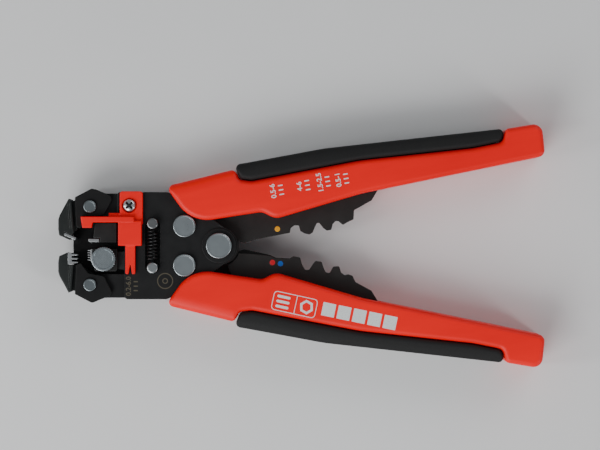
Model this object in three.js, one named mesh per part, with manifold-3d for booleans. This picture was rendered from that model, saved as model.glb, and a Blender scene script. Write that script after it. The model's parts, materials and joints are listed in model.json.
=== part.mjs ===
// Self-adjusting wire stripper and crimper with moulded grips.
// Millimetres. The tool lies flat: +X runs towards the handles, +Y across it, +Z up out of its front face.
// Every outline below is written about the main pivot, which the tool's group then puts in its place.
import * as THREE from 'three';
import { mergeVertices } from 'three/addons/utils/BufferGeometryUtils.js';
import Module from 'manifold-3d';

const wasm = await Module();
wasm.setup();

// ---- driving dimensions ----
const PIVOT_X = -34.95;            // main pivot, from the middle of the tool's length
const HALF_THICKNESS = 11;         // half the thickness over the grips
const GAP = 0.3;                   // clearance between neighbouring pieces
const SQUEEZE = THREE.MathUtils.degToRad(9);   // how far each handle turns
const SLIDE_TRAVEL = 7;            // how far the slide plates move towards the jaws

// layers, measured from the middle of the tool's thickness
const HANDLE_FACE = 3;             // outer face of the handle plates and blade arms
const LAP = 0.15;                  // half the gap between two laminations
const SLIDE_IN = 3.3;              // slide plates
const SLIDE_OUT = 5.2;
const SIDE_IN = 5.5;               // side plates and jaw cheeks
const SIDE_OUT = 7.5;
const LOBE_UNDERSIDE = 7.9;        // underside of the grip lobes that lie over the side plates

// pivots and pins
const MAIN_SHANK_R = 3;
const MAIN_HEAD_R = 5.44;
const HUB_R = 8.4;
const NOSE_R = 8;
const ARM_PIVOT = [-14.7, 8.35];   // upper one; the lower one is its mirror image
const ARM_SHANK_R = 2.5;
const ARM_HEAD_R = 4.76;
const JAW_PIVOT = [-54.9, 16.65];
const JAW_SHANK_R = 2;
const JAW_HEAD_R = 2.7;
const DRIVE_PIN = [-24, 15];
const DRIVE_PIN_R = 1.6;
const SPRING_POST = [-28.2, 9.4];
const POST_SHANK_R = 1.2;
const POST_HEAD_R = 2.3;
const RUNNING = 0.35;              // radial clearance of a moving pin

// jaw spring
const SPRING_AXIS_Z = 7.95;
const SPRING_COIL_R = 2.15;
const SPRING_WIRE_R = 0.4;
const SPRING_PITCH = 1.45;
const SPRING_TURNS = 9;

// adjusting knob and length stop
const KNOB = [-49, -5.7];
const KNOB_R = 5.2;
const KNOB_SHANK_R = 1.8;
const KNURLS = 30;
const STOP_SCREW = [-38, 17.1];
const STOP_TRAVEL = [-2, 1.5];

// ---- colours ----
const FINISHES = {
  blackSteel: { color: 0x2a2a2c, roughness: 0.55, metalness: 0.6 },
  ashSteel: { color: 0x3d4142, roughness: 0.5, metalness: 0.5 },
  brightSteel: { color: 0xa8b0b4, roughness: 0.3, metalness: 0.9 },
  darkSteel: { color: 0x5a5a5a, roughness: 0.4, metalness: 0.8 },
  redGrip: { color: 0xd6201c, roughness: 0.45, metalness: 0 },
  redStop: { color: 0xe8141c, roughness: 0.4, metalness: 0 },
  softBlack: { color: 0x1b1c1c, roughness: 0.85, metalness: 0 },
};

// ---- outlines ----
const mirrorY = (points) => points.map(([x, y, r]) => [x, -y, r]).reverse();

// A closed outline from corners [x, y, fillet radius].
function outline(corners) {
  const points = [];
  corners.forEach(([x, y, radius = 0], i) => {
    const corner = new THREE.Vector2(x, y);
    if (radius === 0) {
      points.push(corner);
      return;
    }
    const before = corners[(i + corners.length - 1) % corners.length];
    const after = corners[(i + 1) % corners.length];
    const toBefore = new THREE.Vector2(before[0] - x, before[1] - y);
    const toAfter = new THREE.Vector2(after[0] - x, after[1] - y);
    const reach = Math.min(toBefore.length(), toAfter.length()) * 0.49;
    const u = toBefore.normalize();
    const v = toAfter.normalize();
    const half = Math.acos(THREE.MathUtils.clamp(u.dot(v), -1, 1)) / 2;
    const r = Math.min(radius, reach * Math.tan(half));
    const tangent = r / Math.tan(half);
    const centre = u.clone().add(v).normalize().multiplyScalar(r / Math.sin(half)).add(corner);
    const start = u.clone().multiplyScalar(tangent).add(corner).sub(centre).angle();
    const end = v.clone().multiplyScalar(tangent).add(corner).sub(centre).angle();
    const sweep = THREE.MathUtils.euclideanModulo(end - start + Math.PI, 2 * Math.PI) - Math.PI;
    const perRadian = r > 12 ? 6 : r > 1.2 ? 2.2 : 1.2;
    const steps = Math.max(1, Math.ceil(Math.abs(sweep) * perRadian));
    for (let k = 0; k <= steps; k += 1) {
      const a = start + (sweep * k) / steps;
      points.push(new THREE.Vector2(centre.x + r * Math.cos(a), centre.y + r * Math.sin(a)));
    }
  });
  return points;
}

const circle = ([x, y], r, sides = 16) => Array.from({ length: sides }, (_, i) => {
  const a = (2 * Math.PI * i) / sides;
  return new THREE.Vector2(x + r * Math.cos(a), y + r * Math.sin(a));
});

// The outline swept by a round pin that follows a path.
function slot(path, r, sides = 5) {
  const left = [];
  const right = [];
  path.forEach(([x, y], i) => {
    const [ax, ay] = path[Math.max(i - 1, 0)];
    const [bx, by] = path[Math.min(i + 1, path.length - 1)];
    const normal = new THREE.Vector2(ay - by, bx - ax).normalize().multiplyScalar(r);
    left.push(new THREE.Vector2(x + normal.x, y + normal.y));
    right.push(new THREE.Vector2(x - normal.x, y - normal.y));
  });
  const cap = ([x, y], from) => Array.from({ length: sides - 1 }, (_, k) => {
    const a = from.angle() - (Math.PI * (k + 1)) / sides;
    return new THREE.Vector2(x + r * Math.cos(a), y + r * Math.sin(a));
  });
  const first = new THREE.Vector2(...path[0]);
  const last = new THREE.Vector2(...path[path.length - 1]);
  return [
    ...left, ...cap(path[path.length - 1], left[left.length - 1].clone().sub(last)),
    ...right.reverse(), ...cap(path[0], right[right.length - 1].clone().sub(first)),
  ];
}

const turn = ([x, y], a) => [x * Math.cos(a) - y * Math.sin(a), x * Math.sin(a) + y * Math.cos(a)];

// Where the main-body pin at a point goes in the frame of the upper handle, and the drive pin in the slide.
const STEPS = [0, 0.25, 0.5, 0.75, 1];
const armPinInHandle = STEPS.map((f) => turn(ARM_PIVOT, f * SQUEEZE));
const drivePinInSlide = STEPS.map((f) => {
  const [x, y] = turn(DRIVE_PIN, -f * SQUEEZE);
  return [x + f * SLIDE_TRAVEL, y];
});
const at = ([x, y], sign) => [x, y * sign];        // a place on the upper (1) or the lower (-1) side
const onSide = (points, sign) => points.map((point) => at(point, sign));
const along = ([x, y], dx0, dx1) => [[x + dx0, y], [x + dx1, y]];

// ---- solids ----
// A shape is a three.js geometry, or the manifold solid that cutting and joining give.
function solidOf(shape) {
  if (!shape.isBufferGeometry) return shape;
  const bare = shape.clone();
  bare.deleteAttribute('normal');
  bare.deleteAttribute('uv');
  const merged = mergeVertices(bare, 1e-4);
  return new wasm.Manifold(new wasm.Mesh({
    numProp: 3,
    vertProperties: new Float32Array(merged.attributes.position.array),
    triVerts: new Uint32Array(merged.index.array),
  }));
}

function geometryOf(shape) {
  if (shape.isBufferGeometry) return shape;
  const { vertProperties, triVerts } = shape.getMesh();
  const geometry = new THREE.BufferGeometry();
  geometry.setAttribute('position', new THREE.BufferAttribute(vertProperties, 3));
  geometry.setIndex(new THREE.BufferAttribute(triVerts, 1));
  geometry.computeVertexNormals();
  return geometry;
}

const cut = (base, ...tools) => tools.reduce((solid, tool) => solid.subtract(solidOf(tool)), solidOf(base));
const join = (...pieces) => pieces.reduce((solid, shape) => solidOf(solid).add(solidOf(shape)));

// A flat piece between two heights, with optional chamfered or rounded rims.
function slab(points, z0, z1, rim = 0, rimSteps = 1) {
  const flat = new THREE.ExtrudeGeometry(new THREE.Shape(points), {
    depth: z1 - z0 - 2 * rim,
    bevelEnabled: rim > 0,
    bevelThickness: rim,
    bevelSize: rim,
    bevelOffset: -rim,
    bevelSegments: rimSteps,
  });
  return flat.translate(0, 0, z0 + rim);
}

const disc = (centre, r, z0, z1, sides = 16) => slab(circle(centre, r, sides), z0, z1);

function box(x0, x1, y0, y1, z0, z1) {
  return new THREE.BoxGeometry(x1 - x0, y1 - y0, z1 - z0)
    .translate((x0 + x1) / 2, (y0 + y1) / 2, (z0 + z1) / 2);
}

// A solid turned about +Z at a point, from [radius, height] pairs that start and end on the axis.
function turned([x, y], profile, sides = 32) {
  const lathe = new THREE.LatheGeometry(profile.map(([r, z]) => new THREE.Vector2(r, z)), sides);
  return lathe.rotateX(Math.PI / 2).translate(x, y, 0);
}

function rivet(centre, shankR, headR, headUnder, headTop, sides = 20) {
  const crown = 0.35;
  return turned(centre, [
    [0, -headTop], [headR - crown, -headTop], [headR, -headTop + crown], [headR, -headUnder],
    [shankR, -headUnder], [shankR, headUnder],
    [headR, headUnder], [headR, headTop - crown], [headR - crown, headTop], [0, headTop],
  ], sides);
}

function wire(path, r, steps, sides = 8) {
  return new THREE.ExtrudeGeometry(new THREE.Shape(circle([0, 0], r, sides)), {
    steps, extrudePath: path, bevelEnabled: false,
  });
}

// ---- the part ----
const tool = new THREE.Group();
tool.position.set(PIVOT_X, 0, HALF_THICKNESS);

function add(name, shape, finish) {
  const mesh = new THREE.Mesh(geometryOf(shape), new THREE.MeshStandardMaterial(FINISHES[finish]));
  mesh.name = name;
  tool.add(mesh);
}

const SIDES = [['upper', 1], ['lower', -1]];
const flip = (corners, sign) => (sign > 0 ? corners : mirrorY(corners));

// ---- head: side plates, rivets, washers, return spring ----
const sideUpper = [
  [-42.3, 10.6], [-43.4, 10.6], [-43.4, 22.8, 1.5], [-22, 22.8, 3], [-8, 15.5, 8], [2.5, 7.6],
];
const sideLower = [[2.5, -7.6], [-8, -15.5, 8], [-22, -22.8, 3], [-40.2, -22.8, 1.5], [-40.2, 0], [-42.3, 0]];
const nose = Array.from({ length: 13 }, (_, i) => turn([NOSE_R, 0], ((i - 6) * Math.PI * 1.2) / 18));
const sidePlate = outline([...sideUpper, ...nose.reverse(), ...sideLower].reverse());
const pivotBores = (z0, z1) => [
  disc([0, 0], MAIN_SHANK_R + RUNNING, z0, z1),
  ...SIDES.map(([, s]) => disc(at(ARM_PIVOT, s), ARM_SHANK_R + RUNNING, z0, z1)),
];
const springWindow = slab(
  slot([[SPRING_POST[0], -8.4], [SPRING_POST[0], 8.4]], 3.15), SIDE_IN - 1, SIDE_OUT + 1);
const screwX = [STOP_SCREW[0] + STOP_TRAVEL[0], STOP_SCREW[0] + STOP_TRAVEL[1]];
const screwSlot = slab(slot([[screwX[0], STOP_SCREW[1]], [screwX[1], STOP_SCREW[1]]], 1.75),
  SIDE_IN - 1, SIDE_OUT + 1);
const NUT_HALF = 2.4;
const nutGroove = box(screwX[0] - NUT_HALF - GAP, screwX[1] + NUT_HALF + GAP,
  STOP_SCREW[1] - NUT_HALF - GAP, STOP_SCREW[1] + NUT_HALF + GAP, SIDE_IN - 1, SIDE_IN + 1.2);
add('side_plate_front', cut(slab(sidePlate, SIDE_IN, SIDE_OUT, 0.25),
  ...pivotBores(SIDE_IN - 1, SIDE_OUT + 1), springWindow, screwSlot, nutGroove), 'blackSteel');
add('side_plate_back', cut(slab(sidePlate, -SIDE_OUT, -SIDE_IN, 0.25),
  ...pivotBores(-SIDE_OUT - 1, -SIDE_IN + 1)), 'blackSteel');

const WASHER = { inner: MAIN_SHANK_R + RUNNING, outer: 7.3, z0: SIDE_OUT + 0.2, z1: SIDE_OUT + 0.7 };
const washer = (sign) => {
  const z = [sign * WASHER.z0, sign * WASHER.z1].sort((a, b) => a - b);
  return cut(disc([0, 0], WASHER.outer, z[0], z[1], 40), disc([0, 0], WASHER.inner, z[0] - 1, z[1] + 1));
};
add('pivot_washer_front', washer(1), 'blackSteel');
add('pivot_washer_back', washer(-1), 'blackSteel');
add('main_rivet', rivet([0, 0], MAIN_SHANK_R, MAIN_HEAD_R, WASHER.z1 + 0.2, 9.9), 'brightSteel');
SIDES.forEach(([side, s]) => add(`${side}_arm_rivet`,
  rivet(at(ARM_PIVOT, s), ARM_SHANK_R, ARM_HEAD_R, SIDE_OUT + 0.2, 9.2), 'brightSteel'));

// Round the main rivet, behind the hubs.
const RETURN = { r: 4.9, wire: 0.38, z0: -4.95, z1: -3.6, turns: 1.25 };
const returnPath = Array.from({ length: 31 }, (_, i) => {
  const f = i / 30;
  const a = f * RETURN.turns * 2 * Math.PI;
  return new THREE.Vector3(
    RETURN.r * Math.cos(a), RETURN.r * Math.sin(a), RETURN.z0 + f * (RETURN.z1 - RETURN.z0));
});
add('return_spring', wire(new THREE.CatmullRomCurve3(returnPath), RETURN.wire, 20, 6), 'darkSteel');

// ---- handles ----
// Inner edges of the crimp arms: shear cutter next to the pivot, then nests that mesh when squeezed.
// Outlines of both handles are written on the upper side; the lower ones are turned over.
const upperDies = [
  [30.5, 7.5, 1], [32, 8.6, 1], [33.9, 8.6, 0.6], [34.6, 6.2, 0.8], [36.4, 5.2, 1], [38.5, 4.7, 0.9],
  [39.9, 5.6, 0.8], [40.8, 7.9, 0.8], [41.7, 9.7, 0.8], [42.7, 9.7, 0.6], [44.4, 7.5, 0.8], [45.9, 6.4, 0.8],
  [47.8, 6.7, 0.8], [48.4, 9.1, 0.8], [49.6, 10.5, 0.8], [50.9, 10.4, 0.6], [52.8, 8.8, 0.7],
  [54.4, 9.8, 0.6], [57.3, 11.2, 0.4], [57.5, 15.1, 0.8], [59.9, 16.4, 1], [65, 19.3],
];
const lowerDies = [
  [31.6, 4.6, 0.4], [34.5, 5.1, 0.6], [35.3, 8, 0.8], [36.6, 10.4, 0.9], [38.4, 10.4, 0.9], [39.9, 8, 0.8],
  [41.1, 6.6, 0.7], [43.7, 6.9, 0.7], [44.6, 9.6, 0.8], [45.5, 11.5, 0.8], [47.2, 11.8, 0.8],
  [48.7, 9, 0.8], [51.2, 8.8, 0.7], [52, 11.5, 0.7], [53.6, 12.7, 0.8], [55.1, 12.3, 0.6],
  [56.9, 12.9, 0.6], [57.5, 14.2, 0.8], [58.2, 15.6, 0.8], [65, 19.3],
];
// Cutter edges: the shearing lamination reaches further than the one it passes.
const edges = {
  upper: {
    shear: [[8.3, 2.1], [10.75, 1.0], [15.6, 2.6], [21.7, 3.8], [27.2, 4.9], [30.1, 5.4, 0.3], ...upperDies],
    clear: [[9.6, 3.2], [11, 2.9], [15.6, 3.3], [21.7, 4.2], [27.2, 5.1], [30.1, 5.6, 0.3], ...upperDies],
  },
  lower: {
    shear: [
      [8.3, 2.2], [10.75, 1.6], [13.2, 2.2], [18, 3.2], [21.7, 4.1], [24.1, 5.2], [30.1, 5.5], ...lowerDies,
    ],
    clear: [[9.4, 3.4], [10.7, 3.3], [15.6, 3.7], [21.7, 4.4], [24.1, 5.4], [30.1, 5.7], ...lowerDies],
  },
};
const tang = [
  [69, 25.9, 1], [128, 38.6, 3], [127, 45.6, 3], [112, 39.8, 8], [60, 33.4, 20], [14, 24.6, 8], [10, 24.4],
];
const hubArc = (from, to, r, steps) => Array.from({ length: steps + 1 }, (_, i) => (
  turn([r, 0], THREE.MathUtils.degToRad(from + ((to - from) * i) / steps))));
// Hub and nose: round the pivot, past the slot for the arm rivet, to the drive pin.
const nosePart = [
  [-2, 23.4, 6], [-14, 17.5, 6], [-22.6, 18.6, 2.4], [-27.6, 16.4, 2.4], [-25, 11.6, 3],
  [-21.5, 7.6, 4], [-19.2, 1.4, 2.5], [-13.2, 0.8, 4],
];
const hubPart = hubArc(200, 345, HUB_R, 12);
const clearOfHub = hubArc(68, 22, HUB_R + 0.5, 8);

function handlePlate(side, sign, withHub) {
  const corners = withHub
    ? [...hubPart, ...edges[side].shear, ...tang, ...nosePart]
    : [...clearOfHub, ...edges[side].clear, ...tang];
  return outline(flip(corners, sign));
}

const TANG_RIVETS = [[20, 21], [70, 31], [115, 39.2]];
const TANG_RIVET = { r: 1.8, headR: 3, under: HANDLE_FACE + 0.2, top: 4.6 };

// Grips
const seam = [[8.7, 28, 2.5], [14, 27.4, 6], [60, 36.2, 60], [108, 41.4, 30], [120.4, 43.9, 3]];
const redOutline = [
  [-22.6, 25.2, 2.2], [-11.7, 9.7, 17], [18.4, 14.4, 5], [24, 11.4, 6], [61, 22.3, 40], [138.6, 38.2, 3],
  [137.1, 52.2, 4], [121.8, 49.6, 2.2], ...[...seam].reverse(), [6.5, 32.4, 2.2],
];
const padOutline = [
  [6.4, 34.4, 2.3], [9, 28.35, 2.5], [14, 27.75, 6], [60, 36.55, 60], [108, 41.75, 30], [120.1, 44.25, 3],
  [121.3, 49.8, 2.3], [45, 41.4, 80], [12, 35.3, 5],
];
// Room for the tang of the handle plates, with a little air round it.
const tangRoom = [
  [10, -2], [66, 12], [69.6, 25.5], [128.6, 38.2, 3], [127.6, 46.2, 3], [112, 40.3, 8], [60, 33.8, 20],
  [14, 25.1, 8], [0, 25.3],
];
const GRIP_RIM = 2;
const PAD_RIM = 1.6;
const CAVITY_X = 11.5;             // the lobes are only flanges on the jaw side of this line

SIDES.forEach(([side, s]) => {
  const armSlot = slab(slot(onSide(armPinInHandle, s), ARM_SHANK_R + RUNNING), -5, 5);
  const rivetBores = TANG_RIVETS.map((p) => disc(at(p, s), TANG_RIVET.r + GAP, -5, 5, 10));
  const halves = [['front', LAP, HANDLE_FACE], ['back', -HANDLE_FACE, -LAP]];
  halves.forEach(([half, z0, z1]) => {
    const withHub = (half === 'front') === (side === 'upper');   // the two hubs lie one behind the other
    const bores = withHub
      ? [disc([0, 0], MAIN_SHANK_R + RUNNING, -5, 5), armSlot,
        disc(at(DRIVE_PIN, s), DRIVE_PIN_R + 0.1, -5, 5, 20)]
      : [];
    add(`${side}_handle_plate_${half}`,
      cut(slab(handlePlate(side, s, withHub), z0, z1), ...bores, ...rivetBores), 'blackSteel');
  });
  add(`${side}_drive_pin`, disc(at(DRIVE_PIN, s), DRIVE_PIN_R, -SLIDE_OUT, SLIDE_OUT, 20), 'darkSteel');
  TANG_RIVETS.forEach((p, i) => add(`${side}_tang_rivet_${i + 1}`,
    rivet(at(p, s), TANG_RIVET.r, TANG_RIVET.headR, TANG_RIVET.under, TANG_RIVET.top, 10), 'darkSteel'));

  const body = slab(outline(flip(redOutline, s)), -HALF_THICKNESS, HALF_THICKNESS, GRIP_RIM, 2);
  const pad = slab(outline(flip(padOutline, s)), -HALF_THICKNESS + 0.3, HALF_THICKNESS - 0.3, PAD_RIM, 2);
  const pocket = slab(outline(flip(tangRoom, s)), -HANDLE_FACE - GAP, HANDLE_FACE + GAP);
  const cavity = box(-40, CAVITY_X, -60, 60, -LOBE_UNDERSIDE, LOBE_UNDERSIDE);
  const headPockets = TANG_RIVETS.map((p) => disc(at(p, s), TANG_RIVET.headR + GAP, -4.9, 4.9, 10));
  const below = box(-60, 160, -80, 80, -20, LAP);
  const above = box(-60, 160, -80, 80, -LAP, 20);
  add(`${side}_grip_front`, cut(body, pocket, cavity, ...headPockets, below), 'redGrip');
  add(`${side}_grip_back`, cut(body, pocket, cavity, ...headPockets, above), 'redGrip');
  add(`${side}_grip_pad`, cut(pad, pocket, cavity), 'softBlack');
});

// ---- slide: two plates joined by the spreader between the blade arms ----
const slideTail = [[-1.5, 12.4, 1], [-9.6, 13.6, 1], [-10.4, 22.2, 2], [-52, 22.2, 6]];
const jawArm = [[-60, 20.2, 4], [-58.9, 12.2, 3]];
const slideBack = [...slideTail, [-60.5, 20.4, 4], [-62.8, 8, 2]];
const slideFront = [...slideTail, ...jawArm, [-44, 12.2, 2], [-34.4, 12.2, 2]];
const bothSides = (upper) => outline([...upper, ...mirrorY(upper)]);
const slideCuts = [
  disc([0, 0], 6.6, -8, 8, 32),
  ...SIDES.flatMap(([, s]) => [
    slab(slot(onSide(drivePinInSlide, s), DRIVE_PIN_R + 0.4), -8, 8),
    slab(slot(along(at(ARM_PIVOT, s), 0, SLIDE_TRAVEL), ARM_SHANK_R + RUNNING), -8, 8),
    disc(at(JAW_PIVOT, s), JAW_SHANK_R + RUNNING, -8, 8, 24),
  ]),
];
const postSlots = SIDES.map(([, s]) => slab(slot(
  along(at(SPRING_POST, s), 0, SLIDE_TRAVEL), POST_SHANK_R + 0.7), SLIDE_IN - 1, SLIDE_OUT + 1));
add('slide_plate_front', cut(slab(bothSides(slideFront), SLIDE_IN, SLIDE_OUT), ...slideCuts, ...postSlots),
  'blackSteel');
add('slide_plate_back', cut(slab(bothSides(slideBack), -SLIDE_OUT, -SLIDE_IN), ...slideCuts), 'blackSteel');
const SPREADER = { x0: -34.2, x1: -30.4, half: 1.1 };
add('blade_spreader', slab(outline([
  [SPREADER.x0, -SPREADER.half, 0.8], [SPREADER.x1, -SPREADER.half, 0.8],
  [SPREADER.x1, SPREADER.half, 0.8], [SPREADER.x0, SPREADER.half, 0.8],
]), -HANDLE_FACE, HANDLE_FACE), 'darkSteel');

// ---- gripping jaws ----
const bill = [
  [-64, 20], [-67.8, 13, 0.8], [-68.4, 11.1, 0.8], [-68.4, 7, 1], [-68, 4.4, 0.6], [-63.3, 2.35, 0.6],
  [-61.6, 5.8, 0.6], [-62.7, 19.4],
];
const ledge = [[-62.9, 19, 0.3], [-61.8, 6, 0.3], [-60.6, 6.6, 0.5], [-59.7, 10, 0.5], [-59.9, 19.6, 0.5]];
const core = [
  [-62.5, 18.6, 0.5], [-62, 8, 0.5], [-58.6, 8.6, 1.5], [-54.4, 11.4, 3], [-50, 14, 3], [-50, 19.6, 3],
  [-55, 22, 4],
];
const cheek = [
  [-61.3, 20.6, 0.6], [-60.8, 8.2, 0.4], [-59, 7.2, 0.8], [-55.6, 11.6, 1], [-48.9, 12.9, 1],
  [-45.5, 19.7, 0.8], [-46.3, 21.1, 0.8], [-54, 24.4, 1.5],
];
const SLOPE = Math.atan2(-2.1, 4.7);               // run of the upper insert
const INSERT = { length: 5.3, thick: 1.1, z0: -2.9, z1: 7.95, centre: [-63.35, 3.95] };
const bar = (grow) => new THREE.BoxGeometry(INSERT.length + grow, INSERT.thick + grow, 1)
  .scale(1, 1, INSERT.z1 - INSERT.z0 + grow).rotateZ(SLOPE)
  .translate(INSERT.centre[0], INSERT.centre[1], (INSERT.z0 + INSERT.z1) / 2);
// A hard insert with a row of teeth that reach to x = tip.
const comb = (x0, x1, y0, y1, tip, rows) => {
  const pitch = (y1 - y0) / rows;
  const root = (x0 + x1) / 2;
  const teeth = Array.from({ length: rows }, (_, i) => {
    const y = y0 + pitch * (i + 0.5);
    return box(Math.min(root, tip), Math.max(root, tip), y - pitch * 0.22, y + pitch * 0.22,
      INSERT.z0, INSERT.z1);
  });
  return join(box(x0, x1, y0, y1, INSERT.z0, INSERT.z1), ...teeth);
};
const lowerInsert = comb(-64.2, -62.5, -7.9, -3.1, -60.1, 3);
const lowerRoom = box(-64.2 - GAP, -58, -7.9 - GAP, -1, -5, 9);

SIDES.forEach(([side, s]) => {
  const insert = s > 0 ? bar(0) : lowerInsert;
  const insertRoom = s > 0 ? bar(2 * GAP) : lowerRoom;
  const bore = disc(at(JAW_PIVOT, s), JAW_SHANK_R + 0.15, -9, 9, 24);
  const jaw = join(
    slab(outline(flip(bill, s)), -HANDLE_FACE, SIDE_OUT, 0.5),
    slab(outline(flip(ledge, s)), -HANDLE_FACE + 0.1, SLIDE_OUT),
    slab(outline(flip(core, s)), -HANDLE_FACE + 0.05, HANDLE_FACE));
  add(`${side}_grip_jaw`, cut(jaw, bore, insertRoom), 'ashSteel');
  add(`${side}_jaw_insert`, insert, 'brightSteel');
  [['front', SIDE_IN, SIDE_OUT], ['back', -SIDE_OUT, -SIDE_IN]].forEach(([half, z0, z1]) => {
    add(`${side}_jaw_cheek_${half}`, cut(slab(outline(flip(cheek, s)), z0, z1, 0.3), bore), 'blackSteel');
  });
  add(`${side}_jaw_rivet`, rivet(at(JAW_PIVOT, s), JAW_SHANK_R, JAW_HEAD_R, SIDE_OUT + 0.15, 8.6),
    'brightSteel');
});

// ---- blade arms ----
const armBoss = [[-14.5, 14.3, 5], [-9, 12, 5], [-9, 4.2, 5], [-14.5, 2.6, 5]];
const armInner = [[-30, 1.7], [-34.6, 1.75], [-37, 2.6], [-50.6, 2.6]];
const armEnd = [[-50.6, 3.2], [-53.2, 3.2], [-52.8, 9.4], [-43, 10]];
const armShape = [...armBoss, ...armInner, ...armEnd, [-27, 12.4, 3]];
const holderUpper = [[-50.6, 1.35], [-43.5, 1.35, 0.4], [-43.5, 9.8, 0.4], [-52.7, 9.8, 0.6], [-53.5, 3.2],
  [-50.6, 3.2]];
const holderLower = [[-53.5, 1.35], [-43.2, 1.35, 0.4], [-43.2, 10.9, 1.2], [-53, 10.9, 1.2]];
const FULL_X = -31;                // towards the blades from here the arms take the whole middle layer

SIDES.forEach(([side, s]) => {
  const half = -s;                 // the upper arm laps behind the upper handle's nose
  const lapped = half > 0 ? [LAP, HANDLE_FACE] : [-HANDLE_FACE, -LAP];
  const spare = half > 0 ? [-HANDLE_FACE - 1, LAP] : [-LAP, HANDLE_FACE + 1];
  const bore = disc(at(ARM_PIVOT, s), ARM_SHANK_R + RUNNING, -5, 5);
  const postBore = disc(at(SPRING_POST, s), POST_SHANK_R + 0.1, -5, 5, 16);
  const knobBore = disc(KNOB, KNOB_SHANK_R + RUNNING, -9, 9, 20);
  const full = slab(outline(flip(armShape, s)), -HANDLE_FACE + 0.05, HANDLE_FACE - 0.05);
  const trim = box(FULL_X, 0, -30, 30, spare[0], spare[1]);
  add(`${side}_blade_arm`, cut(full, bore, postBore, trim, ...(s < 0 ? [knobBore] : [])), 'darkSteel');
  const holderShape = outline(flip(s > 0 ? holderUpper : holderLower, s));
  const holder = slab(holderShape, HANDLE_FACE + 0.25, SIDE_OUT, 0.25);
  add(`${side}_blade_holder`, s < 0 ? cut(holder, knobBore) : holder, 'ashSteel');
  const postZ = [lapped[0], 9.3];
  add(`${side}_spring_post`, turned(at(SPRING_POST, s), [
    [0, postZ[0]], [POST_SHANK_R, postZ[0]], [POST_SHANK_R, postZ[1]], [POST_HEAD_R, postZ[1]],
    [POST_HEAD_R, 10.2], [POST_HEAD_R - 0.4, 10.6], [0, 10.6]], 20), s > 0 ? 'darkSteel' : 'brightSteel');
});
add('upper_blade', slab(outline([[-55.5, 2.9, 0.2], [-55.5, 2], [-54.9, 1.5], [-51, 1.5], [-51, 2.9]]),
  INSERT.z0, SIDE_OUT + 0.2), 'brightSteel');
add('lower_blade', comb(-54.9, -53.85, -6.5, -1.5, -55.8, 5), 'brightSteel');

// ---- adjusting knob ----
const knurled = Array.from({ length: KNURLS * 2 }, (_, i) => {
  const r = KNOB_R - (i % 2) * 0.28;
  const a = (Math.PI * i) / KNURLS;
  return new THREE.Vector2(KNOB[0] + r * Math.cos(a), KNOB[1] + r * Math.sin(a));
});
const KNOB_Z = [SIDE_OUT + 0.5, SIDE_OUT + 2.7];
add('adjusting_knob', cut(
  join(slab(knurled, KNOB_Z[0], KNOB_Z[1], 0.25), disc(KNOB, KNOB_SHANK_R, -2.5, KNOB_Z[0] + 0.5, 20)),
  disc(KNOB, KNOB_R - 1.1, KNOB_Z[1] - 0.3, KNOB_Z[1] + 1, 36),
), 'brightSteel');

// ---- length stop, its screw and nut ----
const STOP_Z0 = SIDE_OUT + 0.3;
const stopBar = slab(outline([[-42.1, 9, 0.4], [-32.3, 9, 0.4], [-32.3, 23.1, 1.2], [-42.1, 23.1, 1.2]]),
  STOP_Z0, 9.3, 0.25);
const stopBlock = slab(outline([[-42.7, 0, 0.5], [-32.7, 0, 0.5], [-32.7, 10.6, 0.5], [-42.7, 10.6, 0.5]]),
  STOP_Z0, 10.7, 0.35);
const stopArm = slab(outline([
  [-58.6, 12.4, 0.3], [-57.9, 7.6, 0.3], [-53.9, 7.6, 0.3], [-53.5, 9.9, 0.3], [-36, 9.9], [-36, 12.4]]),
  8.2, 10.9, 0.25);
const stopStep = box(-46.8, -41.9, 11.5, 13.9, STOP_Z0, 9);
const stopTail = slab(outline([
  [-39.7, 1], [-39.7, -12, 0.6], [-38.4, -12.1, 0.5], [-37.75, -8.2], [-37.45, -8.2], [-36.9, -12.1, 0.5],
  [-35.5, -12, 0.6], [-35.5, 1]]), STOP_Z0, 9.4, 0.2);
add('length_stop', cut(join(stopBar, stopBlock, stopArm, stopStep, stopTail),
  disc(STOP_SCREW, 1.8, 5, 12, 20), disc(STOP_SCREW, 3.05, 9, 12, 28)), 'redStop');
const driver = (a) => box(-1.7, 1.7, -0.35, 0.35, 10, 12).rotateZ(a).translate(...STOP_SCREW, 0);
const screwBody = turned(STOP_SCREW, [
  [0, SIDE_IN + 1], [1.4, SIDE_IN + 1], [1.4, 9.3], [2.6, 9.3], [2.6, 9.9], [2, 10.6], [1, 10.85], [0, 10.9],
], 28);
add('stop_screw', cut(screwBody, driver(0), driver(Math.PI / 2)), 'brightSteel');
add('stop_nut', box(STOP_SCREW[0] - NUT_HALF, STOP_SCREW[0] + NUT_HALF,
  STOP_SCREW[1] - NUT_HALF, STOP_SCREW[1] + NUT_HALF, SIDE_IN + 0.1, SIDE_IN + 0.9), 'darkSteel');

// ---- jaw spring: close-wound coil with a hook round each post ----
const coilLength = SPRING_PITCH * SPRING_TURNS;
const coil = Array.from({ length: Math.round(SPRING_TURNS * 10) + 1 }, (_, i) => {
  const f = i / (SPRING_TURNS * 10);
  const a = f * SPRING_TURNS * 2 * Math.PI;
  return new THREE.Vector3(SPRING_POST[0] + SPRING_COIL_R * Math.cos(a), coilLength * (0.5 - f),
    SPRING_AXIS_Z + SPRING_COIL_R * Math.sin(a));
});
const HOOK_R = POST_SHANK_R + SPRING_WIRE_R + 0.55;
const hook = (sign) => Array.from({ length: 7 }, (_, k) => {
  const a = THREE.MathUtils.degToRad(-60 + 50 * k);
  return new THREE.Vector3(SPRING_POST[0] + HOOK_R * Math.cos(a),
    sign * (SPRING_POST[1] + HOOK_R * Math.sin(a)), SPRING_AXIS_Z);
});
const springPath = new THREE.CatmullRomCurve3([...hook(1).reverse(), ...coil.slice(2, -2), ...hook(-1)]);
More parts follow.
